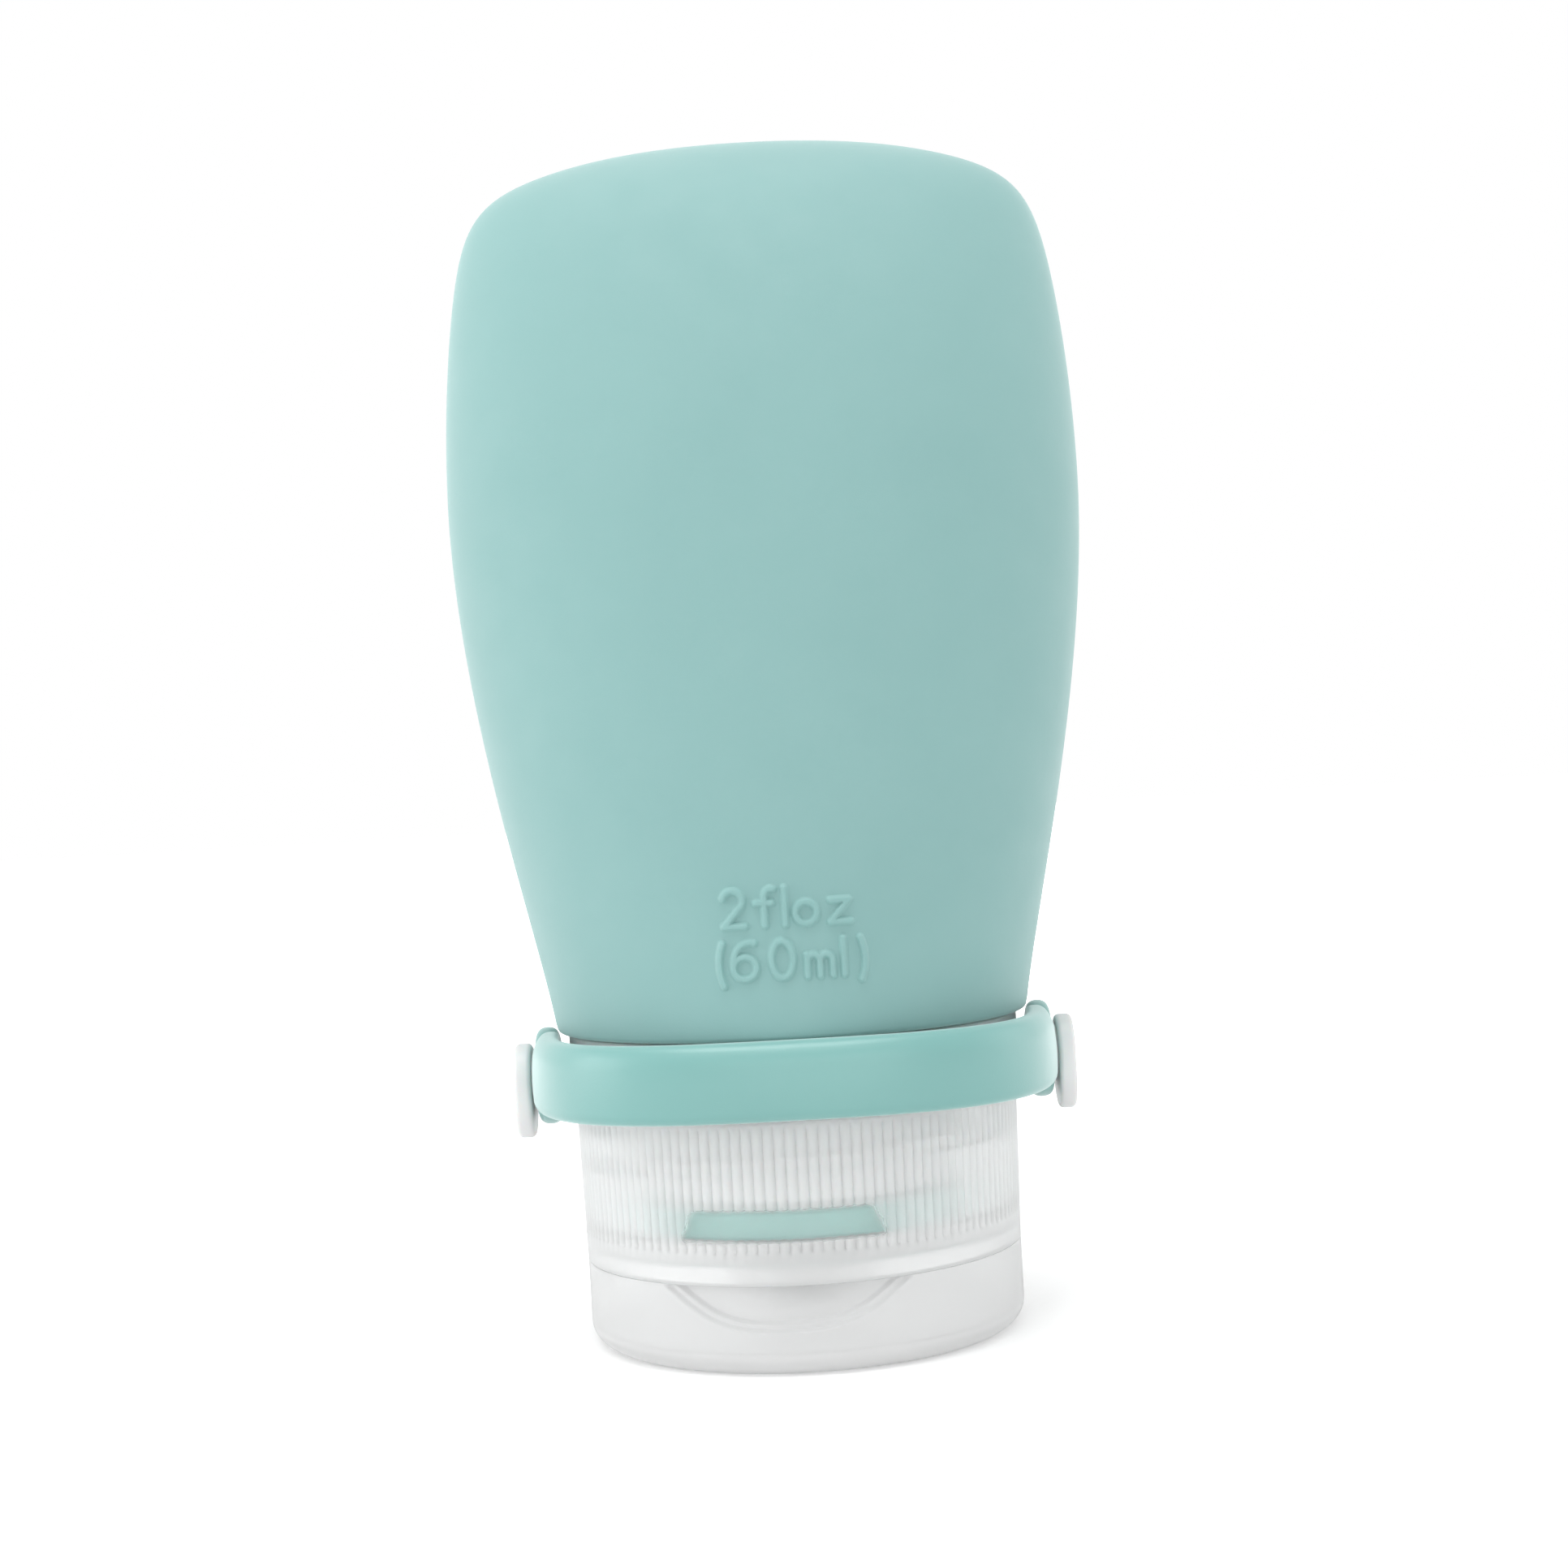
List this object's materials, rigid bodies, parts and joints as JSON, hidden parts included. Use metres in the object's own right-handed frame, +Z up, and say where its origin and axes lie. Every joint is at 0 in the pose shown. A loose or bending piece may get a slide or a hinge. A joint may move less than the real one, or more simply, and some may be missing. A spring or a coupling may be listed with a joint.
{
  "type": "squeeze travel bottle",
  "caption": "Soft squeeze bottle with a flattened round bulb, screw cap, flip lid on a living hinge, slit valve and a strap that swings on side posts to lock the lid.",
  "frame": {"origin": "centre of the flip lid's flat outer face, on which the bottle stands", "axes": "+Z up along the cap's axis towards the closed end of the bulb, -Y towards the front with the strap, +X to the right seen from the front"},
  "size_m": [0.0516, 0.0409, 0.0971],
  "materials": {
    "mint_silicone": "soft matt silicone",
    "frosted_plastic": "frosted, see-through",
    "milky_plastic": "milky satin",
    "clear_silicone": "cloudy, soft"
  },
  "bodies": {
    "bottle": {"squeeze_body": "mint_silicone", "neck_collar": "milky_plastic"},
    "cap_travel": {"valve_retainer": "milky_plastic"},
    "cap": {"cap_shell": "frosted_plastic", "flow_valve": "clear_silicone", "hinge_web": "frosted_plastic"},
    "lid": {"flip_lid": "frosted_plastic"},
    "strap_eyes": {"left_strap_eye": "mint_silicone", "right_strap_eye": "mint_silicone"},
    "strap_front": {"strap_band": "mint_silicone"}
  },
  "joints": [
    {"name": "cap_lift", "type": "slide", "parent": "bottle", "child": "cap_travel", "axis": [0, 0, -1], "range_m": [0, 0.00953]},
    {"name": "cap_turn", "type": "hinge", "parent": "cap_travel", "child": "cap", "pos_m": [0, 0, 0], "axis": [0, 0, -1], "range_deg": [0, 1080]},
    {"name": "lid_hinge", "type": "hinge", "parent": "cap", "child": "lid", "pos_m": [0.00166, 0.01727, 0.0069], "axis": [0.9954, -0.0958, 0], "range_deg": [0, 140], "deforming": ["hinge_web"]},
    {"name": "strap_swing", "type": "hinge", "parent": "bottle", "child": "strap_eyes", "pos_m": [0, 0, 0.0216], "axis": [-1, 0, 0], "range_deg": [-90, 0]},
    {"name": "strap_stretch", "type": "slide", "parent": "strap_eyes", "child": "strap_front", "axis": [0, 1, 0], "range_m": [-0.009, 0], "deforming": ["strap_band"]}
  ],
  "couplings": [
    {"joint": "cap_lift", "follows": "cap_turn", "m_per_rad": 0.00050532},
    {"joint": "strap_stretch", "follows": "strap_swing", "m_per_rad": 0.0057296}
  ]
}
